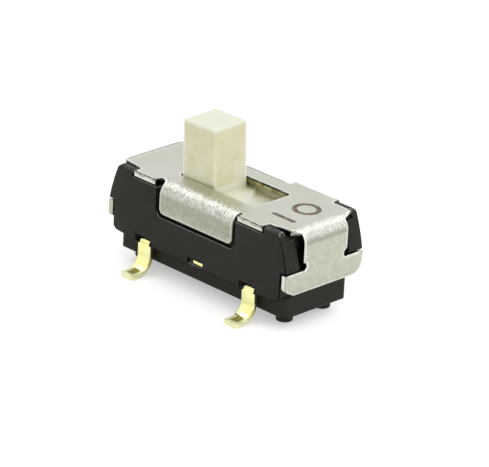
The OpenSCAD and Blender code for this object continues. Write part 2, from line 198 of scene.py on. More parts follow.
class Wiring:
    """Short words for adding and joining nodes in one tree."""

    def __init__(self, tree):
        self.tree = tree

    def add(self, kind, inputs=(), **settings):
        node = self.tree.nodes.new("ShaderNode" + kind)
        for key, value in settings.items():
            setattr(node, key, value)
        for key, value in dict(inputs).items():
            self.feed(node.inputs[key], value)
        return node

    def feed(self, socket, value):
        if isinstance(value, bpy.types.NodeSocket):
            self.tree.links.new(value, socket)
        else:
            socket.default_value = value

    def math(self, operation, *values):
        node = self.add("Math", operation=operation)
        for socket, value in zip(node.inputs, values):
            self.feed(socket, value)
        return node.outputs[0]

    def times(self, product, *factors):
        for factor in factors:
            product = self.math("MULTIPLY", product, factor)
        return product

    def ramp(self, value, low, high, to_low=0.0, to_high=1.0):
        node = self.add("MapRange", interpolation_type="SMOOTHSTEP")
        for key, number in (("Value", value), ("From Min", low), ("From Max", high),
                            ("To Min", to_low), ("To Max", to_high)):
            self.feed(node.inputs[key], number)
        return node.outputs["Result"]

    def mix(self, factor, first, second):
        node = self.add("Mix", data_type="RGBA")
        self.feed(node.inputs["Factor"], factor)
        self.feed(node.inputs["A"], first)
        self.feed(node.inputs["B"], second)
        return node.outputs["Result"]

    def noise(self, where, scale, detail=2.0, roughness=0.5, **more):
        node = self.add("TexNoise", {"Vector": where, "Scale": scale, "Detail": detail,
                                     "Roughness": roughness, **more})
        return node.outputs["Fac"]

    def group(self, tree, **inputs):
        node = self.add("Group", node_tree=tree)
        for key, value in inputs.items():
            self.feed(node.inputs[key], value)
        return node


def rgb(r, g, b):
    return (r, g, b, 1.0)


def new_group(name, inputs, outputs):
    """An empty node group with named inputs, each with its first value, and named outputs."""
    tree = bpy.data.node_groups.new(name, "ShaderNodeTree")
    kinds = {float: "NodeSocketFloat", Vector: "NodeSocketVector"}
    for key, value in inputs.items():
        socket = tree.interface.new_socket(name=key, in_out="INPUT", socket_type=kinds[type(value)])
        socket.default_value = value
    for key, kind in outputs.items():
        tree.interface.new_socket(name=key, in_out="OUTPUT", socket_type=kinds[kind])
    nodes = tree.nodes
    return Wiring(tree), (nodes.new("NodeGroupInput").outputs, nodes.new("NodeGroupOutput").inputs)


def marked(wires, layer):
    """How far a face is marked in one of the mesh's layers."""
    return wires.add("Attribute", attribute_name=layer).outputs["Fac"]


def facing_up(wires):
    return wires.add("SeparateXYZ", {0: wires.add("NewGeometry").outputs["Normal"]}).outputs["Z"]


def distance_from(wires, value, middle=0.0):
    return wires.math("ABSOLUTE", wires.math("SUBTRACT", value, middle))


def length(wires, x, y):
    return wires.math("SQRT", wires.math("ADD", wires.math("POWER", x, 2.0), wires.math("POWER", y, 2.0)))


def make_place_group():
    """Position on the part in millimetres, and its three parts."""
    wires, (_, out) = new_group("place_mm", {}, {"Place": Vector, "X": float, "Y": float, "Z": float})
    spot = wires.add("TexCoord").outputs["Object"]
    scaled = wires.add("VectorMath", {0: spot, "Scale": 1 / MM}, operation="SCALE").outputs["Vector"]
    split = wires.add("SeparateXYZ", {0: scaled})
    wires.feed(out["Place"], scaled)
    for axis in "XYZ":
        wires.feed(out[axis], split.outputs[axis])
    return wires.tree


def make_grain_group():
    """Fine grain, for height and for roughness, with broad clouds, and a few small specks."""
    wires, (given, out) = new_group(
        "surface_grain",
        {"Place": Vector((0, 0, 0)), "Grain": 8.0, "Clouds": 0.8, "Cells": 1.6, "Speck": 0.05},
        {"Height": float, "Clouds": float, "Specks": float},
    )
    coarse = wires.noise(given["Place"], given["Grain"], 3.0, 0.6)
    fine = wires.noise(given["Place"], wires.times(given["Grain"], 3.7), 2.0, 0.5)
    height = wires.math("MULTIPLY_ADD", fine, 0.45, coarse)
    clouds = wires.noise(given["Place"], given["Clouds"], 3.0, 0.55)
    cells = wires.add("TexVoronoi", {"Vector": given["Place"], "Scale": given["Cells"]}).outputs
    # only the cells in the upper part of their random values have a speck
    chosen = wires.ramp(wires.add("SeparateColor", {0: cells["Color"]}).outputs[0], 0.62, 0.64)
    near = wires.ramp(cells["Distance"], wires.times(given["Speck"], 0.6), given["Speck"], 1.0, 0.0)
    wires.feed(out["Height"], height)
    wires.feed(out["Clouds"], wires.ramp(clouds, 0.3, 0.7))
    wires.feed(out["Specks"], wires.times(near, chosen))
    return wires.tree


def make_edge_group():
    """Rounded edges: those that face up, broken up by noise, where materials paint highlights and wear, and
    the rest, where they paint shade or rim highlights.
    """
    wires, (given, out) = new_group(
        "edge_masks",
        {"Place": Vector((0, 0, 0)), "Breaks": 3.0},
        {"Up Edges": float, "Side Edges": float},
    )
    rounded = marked(wires, "rounded")
    upward = wires.ramp(facing_up(wires), 0.15, 0.5)
    breaks = wires.ramp(wires.noise(given["Place"], given["Breaks"], 3.0, 0.6), 0.3, 0.62, 0.35, 1.0)
    wires.feed(out["Up Edges"], wires.times(rounded, breaks, upward))
    wires.feed(out["Side Edges"], wires.times(rounded, wires.math("SUBTRACT", 1.0, upward)))
    return wires.tree


def make_peel_group():
    """Orange peel of a tight bend: short flecks that run round the bend, on the sides and on the ends, as a
    height and as a mask for painted glints.
    """
    wires, (given, out) = new_group(
        "bend_peel",
        {"Place": Vector((0, 0, 0)), "At End": 0.0, "Scale": 14.0},
        {"Glints": float, "Height": float},
    )

    def flecks(stretch):
        turned = wires.add("VectorMath", {0: given["Place"], 1: stretch}, operation="MULTIPLY").outputs[0]
        return wires.noise(turned, given["Scale"], 2.5, 0.62, Distortion=0.6)

    side, end = flecks((1.5, 0.6, 0.6)), flecks((0.6, 1.5, 0.6))
    both = wires.add("Mix", {"Factor": given["At End"], "A": side, "B": end}).outputs["Result"]
    wires.feed(out["Glints"], wires.ramp(both, 0.4, 0.62))
    wires.feed(out["Height"], both)
    return wires.tree


PLACE = make_place_group()
GRAIN = make_grain_group()
EDGE = make_edge_group()
PEEL = make_peel_group()


def new_material(name):
    material = bpy.data.materials.new(name)
    material.use_nodes = True
    material.node_tree.nodes.clear()
    wires = Wiring(material.node_tree)
    shader = wires.add("BsdfPrincipled")
    wires.add("OutputMaterial", {"Surface": shader.outputs[0]})
    place = wires.group(PLACE).outputs
    return material, wires, shader, place


def add_bump(wires, shader, height, depth_mm):
    bump = wires.add("Bump", {"Strength": 1.0, "Distance": depth_mm * MM, "Height": height})
    wires.feed(shader.inputs["Normal"], bump.outputs["Normal"])


# ---------------------------------------------------------------- sizes that looks and pieces share

SHEET_T = 0.2
COVER_HALF_L, COVER_HALF_W, COVER_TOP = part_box("cover")[1] / MM
# radius of the outside of a bend, and where the flat top ends
BEND = 0.5
FLAT_X = COVER_HALF_L - BEND
FLAT_Y = COVER_HALF_W - BEND
# side flaps: side, middle along the slide, half length
FLAPS = ((-1, -0.07, 1.74), (1, -0.51, 1.28))
SLOT_X, SLOT_HALF_L, SLOT_HALF_W, SLOT_R = -0.07, 1.765, 0.84, 0.12
# heights: the foot of the sheet's rolled edge, the bottom of the end clips and the top of the posts
ROLL_FOOT = COVER_TOP - 0.08
CLIP_FOOT = COVER_TOP - 2.18
POST_TOP = 3.42
# what belongs to the knob lies over its foot and at most a little past its sides
KNOB_FOOT, KNOB_ROOM = 3.199, 0.04
# the knob's middle, its sizes, and how it stands in the slot: turned, leaning and narrower at its top
KNOB_X, KNOB_L, KNOB_W, KNOB_H = -1.045, 1.5, 1.6, 2.0
KNOB_TURN = math.radians(2.6)
KNOB_LEAN, KNOB_DRAFT = 0.05, 0.009
# the laser mark: its line, with how far and how finely that wavers, its bar and its ring
STROKE, WAVER, WAVER_SCALE = 0.175, 0.035, 14.0
BAR_X, BAR_Y, BAR_HALF_L = 2.96, -0.72, 0.44
RING_X, RING_Y, RING_R, RING_OVAL = 2.93, 0.38, 0.42, 1.05

# ---------------------------------------------------------------- materials


def make_mark_group():
    """The laser mark on the cover: a bar and a ring, the common signs for on and off."""
    wires, (given, out) = new_group("laser_mark", {"Place": Vector((0, 0, 0))}, {"Mark": float})
    noise = wires.add("TexNoise", {"Vector": given["Place"], "Scale": WAVER_SCALE, "Detail": 2.0})
    around = wires.add("VectorMath", {0: noise.outputs["Color"], 1: (0.5,) * 3}, operation="SUBTRACT")
    moved = wires.add("VectorMath", {0: around.outputs["Vector"], 1: (WAVER,) * 3, 2: given["Place"]},
                      operation="MULTIPLY_ADD").outputs["Vector"]
    split = wires.add("SeparateXYZ", {0: moved}).outputs
    x, y = split["X"], split["Y"]

    # bar: distance from a straight line along the slide
    beyond = wires.math("MAXIMUM", wires.math("SUBTRACT", distance_from(wires, x, BAR_X), BAR_HALF_L), 0.0)
    bar = length(wires, beyond, wires.math("SUBTRACT", y, BAR_Y))
    # ring: distance from a slightly oval line
    across = wires.times(wires.math("SUBTRACT", y, RING_Y), RING_OVAL)
    from_middle = length(wires, wires.math("SUBTRACT", x, RING_X), across)
    ring = distance_from(wires, from_middle, RING_R)
    past_line = wires.math("SUBTRACT", wires.math("MINIMUM", bar, ring), STROKE / 2)
    line = wires.ramp(past_line, -0.02, 0.02, 1.0, 0.0)
    on_top = wires.ramp(split["Z"], COVER_TOP - 0.17, COVER_TOP - 0.07)
    wires.feed(out["Mark"], wires.times(line, on_top))
    return wires.tree


def make_places_group():
    """Where the sheet is: on an end bend, on a flap's bend, on the upright parts, or in the slot."""
    wires, (given, out) = new_group(
        "sheet_places",
        {"X": 0.0, "Y": 0.0, "Z": 0.0},
        {"End": float, "Flap": float, "Upright": float, "Slot": float},
    )
    end = wires.ramp(distance_from(wires, given["X"]), FLAT_X - 0.06, FLAT_X + 0.16)
    over_flap = 0.0
    for side, middle, half in FLAPS:
        along = wires.ramp(distance_from(wires, given["X"], middle), half, half + 0.04, 1.0, 0.0)
        across = wires.ramp(wires.times(given["Y"], float(side)), FLAT_Y - 0.12, FLAT_Y + 0.12)
        over_flap = wires.math("MAXIMUM", over_flap, wires.times(along, across))
    from_x, from_y = distance_from(wires, given["X"], SLOT_X), distance_from(wires, given["Y"])
    in_slot = wires.times(
        wires.ramp(from_x, SLOT_HALF_L + 0.01, SLOT_HALF_L + 0.02, 1.0, 0.0),
        wires.ramp(from_y, SLOT_HALF_W + 0.01, SLOT_HALF_W + 0.02, 1.0, 0.0),
    )
    wires.feed(out["End"], end)
    wires.feed(out["Flap"], over_flap)
    wires.feed(out["Upright"], wires.ramp(given["Z"], COVER_TOP - 0.5, COVER_TOP - 0.28, 1.0, 0.0))
    wires.feed(out["Slot"], in_slot)
    return wires.tree


MARK = make_mark_group()
PLACES = make_places_group()


# the sheet's colours, some of them painted light and shade: pairs are mixed by clouds, patches or flecks
SHEET_TONES = rgb(0.56, 0.575, 0.485), rgb(0.61, 0.61, 0.555)
FLAP_SHADE_TONES = rgb(0.43, 0.435, 0.345), rgb(0.48, 0.48, 0.385)
CLIP_LIGHT_TONES = rgb(0.59, 0.595, 0.485), rgb(0.64, 0.635, 0.53)
FLAP_GLINT_TONES = rgb(0.46, 0.465, 0.4), rgb(0.86, 0.865, 0.81)
END_GLINT_TONES = rgb(0.58, 0.585, 0.52), rgb(0.86, 0.865, 0.81)
CUT_TONES = rgb(0.3, 0.305, 0.23), rgb(0.66, 0.66, 0.56)
SLOT_REFLECTED_IVORY = rgb(0.3, 0.28, 0.13), rgb(0.56, 0.53, 0.32)
MARK_TONES = rgb(0.1, 0.06, 0.045), rgb(0.2, 0.17, 0.1)
DARK_REFLECTION_BAND, SCUFF, PITS = rgb(0.33, 0.335, 0.28), rgb(0.36, 0.365, 0.31), rgb(0.28, 0.285, 0.23)
GLINT, RIM_HIGHLIGHT = rgb(0.95, 0.95, 0.92), rgb(0.95, 0.955, 0.92)
FLAT_ROLL_SHADE, BENT_ROLL_HIGHLIGHT, BAR_ROLL = rgb(0.075, 0.075, 0.065), rgb(0.8, 0.8, 0.75), rgb(0.36, 0.36, 0.31)
LOWER_CUT, LEFT_CUT = rgb(0.8, 0.8, 0.75), rgb(0.52, 0.53, 0.42)
SLOT_LIP_SHADE, SHADED_DEEP_CUT, GRAZING_BEND_SHADE = rgb(0.02, 0.018, 0.012), rgb(0.012, 0.011, 0.008), rgb(0.16, 0.16, 0.14)


def sheet_with_wear_and_light(wires, place, grain, zone):
    """The sheet's own colour, with painted shade on the upright flaps, lighter towards their foot, painted
    light on the upright end clips, a painted dark reflection band under each end bend, and scuffs.
    """
    where, height = place["Place"], place["Z"]
    patchy = wires.ramp(wires.noise(where, 2.6, 3.0, 0.6), 0.36, 0.64)
    steel = wires.mix(grain["Clouds"], *SHEET_TONES)
    painted_dark = wires.mix(patchy, *FLAP_SHADE_TONES)
    pale = wires.mix(patchy, *CLIP_LIGHT_TONES)
    foot = wires.ramp(height, COVER_TOP - 1.1, COVER_TOP - 0.8, 0.55, 0.0)
    # painted shade on the upright flaps, lighter towards their foot, and painted light on the upright end
    # clips
    steel = wires.mix(wires.times(zone["Upright"], zone["Flap"]), steel, wires.mix(foot, painted_dark, pale))
    steel = wires.mix(wires.times(zone["Upright"], zone["End"]), steel, pale)

    # a painted dark reflection band under each end bend, with a wavy edge
    band_edge = wires.math("MULTIPLY_ADD", wires.noise(where, 2.4, 2.0, 0.6), 0.12, height)
    reflection_band = wires.times(
        wires.ramp(band_edge, COVER_TOP - 0.52, COVER_TOP - 0.4),
        wires.ramp(band_edge, COVER_TOP - 0.31, COVER_TOP - 0.22, 1.0, 0.0),
        zone["End"],
        0.75,
    )
    steel = wires.mix(reflection_band, steel, DARK_REFLECTION_BAND)

    # scuffs along the foot of each end clip
    uneven = wires.math("MULTIPLY_ADD", wires.noise(where, 3.2, 3.0, 0.65), 0.3, height)
    scuffed = wires.times(
        wires.ramp(uneven, CLIP_FOOT + 0.22, CLIP_FOOT + 0.28),
        wires.ramp(height, CLIP_FOOT + 0.08, CLIP_FOOT + 0.18, 1.0, 0.0),
        wires.ramp(height, CLIP_FOOT + 0.03, CLIP_FOOT + 0.06),
        0.5,
    )
    return wires.mix(scuffed, steel, SCUFF)


def with_peel(wires, steel, place, zone, peel, bent):
    """Orange peel painted as glints and dark flecks, strongest high on a bend, and fine pits on the upright
    parts.
    """
    grainy = wires.math("MULTIPLY_ADD", zone["Flap"], 0.3, wires.times(zone["End"], 0.1))
    grainy = wires.times(grainy, wires.math("SUBTRACT", 1.0, peel["Glints"]))
    steel = wires.mix(grainy, steel, PITS)
    # painted glints and dark flecks of the orange peel, strongest high on a bend and fading at grazing angles
    on_flap, on_end = wires.mix(peel["Glints"], *FLAP_GLINT_TONES), wires.mix(peel["Glints"], *END_GLINT_TONES)
    glinting = wires.mix(zone["End"], on_flap, on_end)
    steel = wires.mix(wires.times(bent, 0.8), steel, glinting)
    speckle = wires.times(
        wires.ramp(wires.noise(place["Place"], 6.0, 4.0, 0.75), 0.42, 0.6, 1.0, 0.0),
        zone["Upright"],
        wires.math("MULTIPLY_ADD", zone["Flap"], 0.42, wires.times(zone["End"], 0.18)),
    )
    return wires.mix(speckle, steel, PITS)


def with_edges(wires, steel, place, zone):
    """Painted highlight along the edges, painted shade on the roll where the sheet is flat and painted light
    on it round the bends, a bright cut, and painted shade and reflection in the slot and where the edge lies
    deep.
    """
    where, height = place["Place"], place["Z"]
    breaks = wires.ramp(wires.noise(where, 5.0, 2.0, 0.5), 0.35, 0.6, 0.55, 1.0)
    flat = wires.ramp(height, ROLL_FOOT, ROLL_FOOT + 0.03)
    # a painted highlight line along the edges, broken up by noise
    rim = wires.times(marked(wires, "rim"), wires.ramp(flat, 0.0, 1.0, 0.6, 1.0), breaks)
    steel = wires.mix(rim, steel, RIM_HIGHLIGHT)
    # painted shade on the roll where the sheet is flat, painted light on it round the bends, dimmer at the
    # bars' ends
    bar_end = wires.ramp(distance_from(wires, place["Y"]), COVER_HALF_W - 0.12, COVER_HALF_W - 0.06)
    edge = wires.mix(flat, wires.mix(bar_end, BENT_ROLL_HIGHLIGHT, BAR_ROLL), FLAT_ROLL_SHADE)
    steel = wires.mix(wires.times(marked(wires, "rounded"), breaks, 0.95), steel, edge)

    lower = wires.ramp(height, COVER_TOP - SHEET_T + 0.03, ROLL_FOOT + 0.01, 1.0, 0.0)
    blotches = wires.ramp(wires.noise(where, 4.5, 3.0, 0.65), 0.4, 0.6)
    cut = wires.mix(lower, wires.mix(blotches, *CUT_TONES), LOWER_CUT)
    cut = wires.mix(wires.ramp(place["X"], 0.35 - COVER_HALF_L, 0.25 - COVER_HALF_L), cut, LEFT_CUT)
    # in the slot the cut face gets a painted dark line at its top and a painted reflection of the ivory
    # slider below it
    dark_lip = wires.ramp(height, ROLL_FOOT, ROLL_FOOT + 0.02)
    cut = wires.mix(zone["Slot"], cut, wires.mix(dark_lip, wires.mix(blotches, *SLOT_REFLECTED_IVORY), SLOT_LIP_SHADE))
    steel = wires.mix(marked(wires, "cut_face"), steel, cut)
    # painted shade on the cut faces that lie deep between the sheet and the moulding
    return wires.mix(marked(wires, "deep"), steel, SHADED_DEEP_CUT)


def make_steel():
    """Satin stainless sheet: orange peel on the bends with painted glints, painted shade and highlights on
    the rolled edges, bright cuts.
    """
    material, wires, shader, place = new_material("satin_sheet")
    where = place["Place"]
    grain = wires.group(GRAIN, Place=where, Grain=9.0, Clouds=0.75, Cells=1.7, Speck=0.045).outputs
    zone = wires.group(PLACES, X=place["X"], Y=place["Y"], Z=place["Z"]).outputs
    peel = wires.group(PEEL, **{"Place": where, "At End": zone["End"]}).outputs
    mark = wires.group(MARK, Place=where).outputs["Mark"]
    grazing = wires.add("LayerWeight", {"Blend": 0.5}).outputs["Facing"]
    on_bend = wires.math("MAXIMUM", zone["End"], zone["Flap"])
    bent = wires.times(
        on_bend,
        wires.ramp(place["Z"], COVER_TOP - 0.5, COVER_TOP - 0.22),
        wires.ramp(grazing, 0.63, 0.75, 1.0, 0.0),
        wires.ramp(grazing, 0.05, 0.25, 0.35, 1.0),
    )
    steel = sheet_with_wear_and_light(wires, place, grain, zone)
    steel = with_peel(wires, steel, place, zone, peel, bent)
    steel = wires.mix(wires.times(grain["Specks"], 0.8), steel, GLINT)
    steel = with_edges(wires, steel, place, zone)
    # painted dark reflection on the bends where they are seen at a grazing angle
    steel = wires.mix(wires.times(on_bend, wires.ramp(grazing, 0.65, 0.85, 0.0, 0.85)), steel, GRAZING_BEND_SHADE)
    tint = wires.mix(wires.ramp(wires.noise(where, 2.2, 3.0, 0.6), 0.42, 0.58), *MARK_TONES)
    steel = wires.mix(wires.times(mark, 0.95), steel, tint)

    wires.feed(shader.inputs["Base Color"], steel)
    wires.feed(shader.inputs["Metallic"], wires.ramp(mark, 0.0, 1.0, 1.0, 0.15))
    rough = wires.ramp(grain["Clouds"], 0.0, 1.0, 0.28, 0.36)
    wires.feed(shader.inputs["Roughness"], wires.math("MULTIPLY_ADD", mark, 0.3, rough))
    relief = wires.times(peel["Height"], bent, 0.02)
    relief = wires.math("MULTIPLY_ADD", grain["Height"], 0.0035, relief)
    relief = wires.math("MULTIPLY_ADD", mark, -0.008, relief)
    add_bump(wires, shader, relief, 1.0)
    return material


BLACK_TONES = rgb(0.0095, 0.0096, 0.0078), rgb(0.0155, 0.0156, 0.0135)
DUST, SCUFF_AND_SHEEN_TOP = rgb(0.05, 0.048, 0.042), rgb(0.085, 0.086, 0.078)
WORN_LIT_EDGE, WORN_LIT_LEDGE, SIDE_EDGE_SHADE = rgb(0.24, 0.24, 0.225), rgb(0.06, 0.06, 0.055), rgb(0.001, 0.001, 0.001)


def make_black():
    """Black moulding: matte, with a fine spark-eroded grain, painted highlights and wear on its upper edges,
    and painted shade on its other edges.
    """
    material, wires, shader, place = new_material("black_moulding")
    where = place["Place"]
    grain = wires.group(GRAIN, Place=where, Grain=16.0, Clouds=0.6, Cells=1.4, Speck=0.06).outputs
    edge = wires.group(EDGE, Place=where, Breaks=2.2).outputs
    black = wires.mix(grain["Clouds"], *BLACK_TONES)
    black = wires.mix(wires.times(grain["Specks"], 0.35), black, DUST)
    at_top = wires.ramp(place["Z"], POST_TOP - 0.06, POST_TOP)
    # scuffs and a painted sheen on the posts' up-facing tops
    scuff_and_sheen = wires.ramp(wires.noise(where, 4.2, 3.0, 0.65), 0.42, 0.62, 0.1, 0.75)
    black = wires.mix(wires.times(wires.ramp(facing_up(wires), 0.4, 0.8), at_top, scuff_and_sheen), black, SCUFF_AND_SHEEN_TOP)
    # the ledges at both ends lie under the posts' tops and get a dimmer painted highlight and less wear
    ledge = wires.times(wires.math("SUBTRACT", 1.0, at_top),
                        wires.ramp(distance_from(wires, place["X"]), 3.3, 3.5))
    black = wires.mix(wires.times(edge["Up Edges"], 0.9), black, wires.mix(ledge, WORN_LIT_EDGE, WORN_LIT_LEDGE))
    # painted shade: dark lines along the rounded edges that don't face up
    black = wires.mix(edge["Side Edges"], black, SIDE_EDGE_SHADE)
    wires.feed(shader.inputs["Base Color"], black)
    wires.feed(shader.inputs["Roughness"], wires.ramp(grain["Clouds"], 0.0, 1.0, 0.5, 0.62))
    wires.feed(shader.inputs["Specular IOR Level"], wires.ramp(edge["Side Edges"], 0.0, 1.0, 0.25, 0.03))
    shader.inputs["Specular Tint"].default_value = rgb(1.0, 1.0, 0.84)
    add_bump(wires, shader, grain["Height"], 0.004)
    return material


def knob_edge_highlights(wires, place):
    """A thin painted highlight line along the knob's upright edges, strongest on two that stand opposite."""
    over_cover = wires.math("SUBTRACT", place["Z"], COVER_TOP)
    c, s = math.cos(KNOB_TURN), math.sin(KNOB_TURN)
    along = wires.math("MULTIPLY_ADD", over_cover, KNOB_LEAN, wires.math("SUBTRACT", place["X"], KNOB_X))
    x = wires.math("MULTIPLY_ADD", along, c, wires.times(place["Y"], s))
    y = wires.math("MULTIPLY_ADD", along, -s, wires.times(place["Y"], c))
    return wires.times(
        wires.ramp(distance_from(wires, x), KNOB_L / 2 - 0.13, KNOB_L / 2 - 0.08),
        wires.ramp(distance_from(wires, y), KNOB_W / 2 - 0.13, KNOB_W / 2 - 0.08),
        wires.ramp(over_cover, -0.05, 0.1),
        wires.ramp(wires.times(x, y), -0.3, 0.3, 0.0, 0.9),
    )


IVORY_TONES = rgb(0.83, 0.805, 0.6), rgb(0.87, 0.85, 0.68)
BLUSH, UPPER_IVORY, LOWER_IVORY_LIGHT = rgb(0.75, 0.73, 0.42), rgb(0.7, 0.68, 0.44), rgb(0.9, 0.9, 0.79)
KNOB_TOP, CORNER_SHADE = rgb(0.815, 0.84, 0.69), rgb(0.56, 0.52, 0.22)
EDGE_HIGHLIGHT, IVORY_SPECK = rgb(0.96, 0.96, 0.9), rgb(0.3, 0.27, 0.17)


def make_ivory():
    """Ivory moulding: a little light passes into it, with painted shade in inner corners, painted light on
    the parts under the cover and painted highlights along edges.
    """
    material, wires, shader, place = new_material("ivory_moulding")
    where, height = place["Place"], place["Z"]
    grain = wires.group(GRAIN, Place=where, Grain=9.0, Clouds=0.9, Cells=1.2, Speck=0.045).outputs
    edge = wires.group(EDGE, Place=where, Breaks=3.0).outputs
    inner = wires.add("AmbientOcclusion", {"Distance": 0.6 * MM}, samples=8).outputs["AO"]
    blush = wires.ramp(wires.noise(where, 1.3, 3.0, 0.6), 0.42, 0.66)
    knob_top = COVER_TOP + KNOB_H
    ivory = wires.mix(grain["Clouds"], *IVORY_TONES)
    ivory = wires.mix(wires.times(blush, 0.7), ivory, BLUSH)
    ivory = wires.mix(wires.ramp(height, COVER_TOP, knob_top - 0.2, 0.0, 0.62), ivory, UPPER_IVORY)
    # painted light on the slider's parts under the cover, seen through the slot
    ivory = wires.mix(wires.ramp(height, COVER_TOP - 0.1, COVER_TOP, 0.8, 0.0), ivory, LOWER_IVORY_LIGHT)
    ivory = wires.mix(wires.ramp(height, knob_top - 0.14, knob_top - 0.02), ivory, KNOB_TOP)
    # painted shade in inner corners, from ambient occlusion
    ivory = wires.mix(wires.ramp(inner, 0.2, 0.8, 0.8, 0.0), ivory, CORNER_SHADE)
    grazing = wires.add("LayerWeight", {"Blend": 0.5}).outputs["Facing"]
    edge_highlights = wires.times(edge["Side Edges"], wires.ramp(grazing, 0.38, 0.5))
    up_edge_highlight = wires.times(edge["Up Edges"], wires.ramp(height, COVER_TOP - 0.44, COVER_TOP - 0.4), 0.65)
    edge_highlights = wires.math("MAXIMUM", wires.math("MAXIMUM", edge_highlights, up_edge_highlight), knob_edge_highlights(wires, place))
    # painted highlights along edges seen at a grazing angle, on upper up-facing edges and on the knob's
    # upright edges
    ivory = wires.mix(edge_highlights, ivory, EDGE_HIGHLIGHT)
    ivory = wires.mix(wires.times(grain["Specks"], 0.5), ivory, IVORY_SPECK)
    wires.feed(shader.inputs["Base Color"], ivory)
    wires.feed(shader.inputs["Roughness"], wires.ramp(grain["Clouds"], 0.0, 1.0, 0.38, 0.5))
    shader.inputs["Subsurface Weight"].default_value = 0.2
    shader.inputs["Subsurface Radius"].default_value = (0.6, 0.5, 0.25)
    shader.inputs["Subsurface Scale"].default_value = 0.5 * MM
    add_bump(wires, shader, grain["Height"], 0.003)
    return material


GILT_EDGE_SHADE_AND_GLINT = rgb(0.3, 0.25, 0.045), rgb(0.98, 0.96, 0.66)
TINNED, FOOT_DARK_REFLECTION, GILT_SPECK = rgb(1.0, 1.0, 0.7), rgb(0.3, 0.235, 0.04), rgb(0.4, 0.3, 0.06)
# the painted dark reflection on each foot, from the middle line, and the outer leads, from the middle of the
# switch
PATCH_Y, LEAD_X = 2.18, 2.5


def make_gilt(name, pale, deep):
    """Gold plating over rolled strip: smooth, with faint rolling marks, painted olive shade and glints on its
    edges, and a painted dark reflection on each foot.
    """
    material, wires, shader, place = new_material(name)
    where = place["Place"]
    grain = wires.group(GRAIN, Place=where, Grain=10.0, Clouds=2.0, Cells=3.0, Speck=0.04).outputs
    breaks = wires.ramp(wires.noise(where, 4.0, 2.0, 0.5), 0.4, 0.58)
    gilt = wires.mix(grain["Clouds"], deep, pale)
    # painted olive shade and pale glints along the rounded edges
    gilt = wires.mix(wires.times(marked(wires, "rounded"), 0.8), gilt, wires.mix(breaks, *GILT_EDGE_SHADE_AND_GLINT))
    soldered = wires.ramp(place["Z"], 0.17, 0.21, 1.0, 0.0)
    gilt = wires.mix(wires.times(soldered, 0.6), gilt, TINNED)
    # folded so, the distance along the slide is 0 at the middle lead and at both outer ones
    from_lead = wires.math("PINGPONG", distance_from(wires, place["X"]), LEAD_X / 2)
    from_row = distance_from(wires, distance_from(wires, place["Y"]), PATCH_Y)
    from_patch = wires.math("MAXIMUM", from_lead, wires.times(from_row, 0.85))
    from_patch = wires.math("MULTIPLY_ADD", wires.noise(where, 9.0, 2.0), 0.12, from_patch)
    painted_dark = wires.times(wires.ramp(from_patch, 0.2, 0.24, 0.9, 0.0),
                       wires.ramp(place["Z"], 0.36, 0.4, 1.0, 0.0))
    # painted dark reflection of the black body on each foot
    gilt = wires.mix(painted_dark, gilt, FOOT_DARK_REFLECTION)
    gilt = wires.mix(wires.times(grain["Specks"], 0.5), gilt, GILT_SPECK)
    wires.feed(shader.inputs["Base Color"], gilt)
    wires.feed(shader.inputs["Metallic"], wires.ramp(soldered, 0.0, 1.0, 1.0, 0.45))
    rough = wires.ramp(grain["Clouds"], 0.0, 1.0, 0.1, 0.2)
    wires.feed(shader.inputs["Roughness"], wires.math("MULTIPLY_ADD", soldered, 0.4, rough))
    add_bump(wires, shader, grain["Height"], 0.006)
    return material


STEEL = make_steel()
BLACK = make_black()
IVORY = make_ivory()
GILT = make_gilt("gold_plating", rgb(1.0, 1.0, 0.56), rgb(1.0, 0.97, 0.4))
SPRING = make_gilt("contact_plating", rgb(0.93, 0.78, 0.36), rgb(0.84, 0.64, 0.24))

# ---------------------------------------------------------------- pieces

# how far in the edges of each piece are rounded
BASE_EDGE, SLIDER_EDGE, TERMINAL_EDGE, CONTACT_EDGE = 0.025, 0.03, 0.02, 0.012

# The cover's sheet, as the press tool sees it: a flat outline that is folded at its ends and sides.
# Lengths past a fold line are measured round the outside of the bend. Near and far are -Y and +Y.
ROUND_BEND = BEND * math.pi / 2
STRIP_X = COVER_HALF_L - 1.2
# the corner cut of a clip's cross bar: width, height, radius
NEAR_CUT, FAR_CUT = (0.42, 0.22, 0.16), (0.3, 0.28, 0.45)
# each corner: half widths at the strip, at the shoulder's tip and at the neck, and the bar's cut
NEAR_RIGHT = (1.5, 1.31, 0.98, NEAR_CUT)
FAR_RIGHT = (1.5, 1.5, 1.05, FAR_CUT)
FAR_LEFT = (1.46, 1.46, 1.05, FAR_CUT)
NEAR_LEFT = (1.5, 1.4, 1.05, NEAR_CUT)
TIP_X, TIP_SLANT = FLAT_X + 0.18, 0.14
# radii of the shoulder's corners, from the strip to the neck
FILLET_R, TIP_R, NECK_R = 0.12, 0.08, 0.1
FLAP_END = FLAT_Y + ROUND_BEND + 1.16 - BEND
FLAP_R = 0.22
NOTCH_W, NOTCH_DEPTH = 0.23, 0.28
BAR_U = FLAT_X + ROUND_BEND + 0.91
BAR_H = 0.78
# the round relief where the neck meets the bar, and how much of its radius lies over the bar's edge
RELIEF_R, RELIEF_OVER = 0.14, 0.95
RELIEF_U = BAR_U - RELIEF_OVER * RELIEF_R
ROLL_R, RIM_W = 0.035, 0.05
# how much fuller than round the bends are: at the left end, and along the far flap
LEFT_FULLER, FAR_FULLER = 0.085, 0.05
# longest step along the outline, and the gaps between the sheet's inner rows
OUTLINE_STEP, ROW_GAP_U, ROW_GAP_V, BEND_GAP = 0.06, 0.25, 0.22, 0.07
# room between the inner rows' points and the borders
ROW_ROOM = 0.035
# the cut face stands back a little, and its inner corner is broken by this much
CUT_BACK, CUT_CORNER = 0.004, 0.012
# how far the edge's places are widened when it is asked what lies behind them
SLACK, TIP_SLACK = 0.02, 0.03
# strength of the painted highlight line along the edges that are open to the eye
OPEN_RIM = 0.6


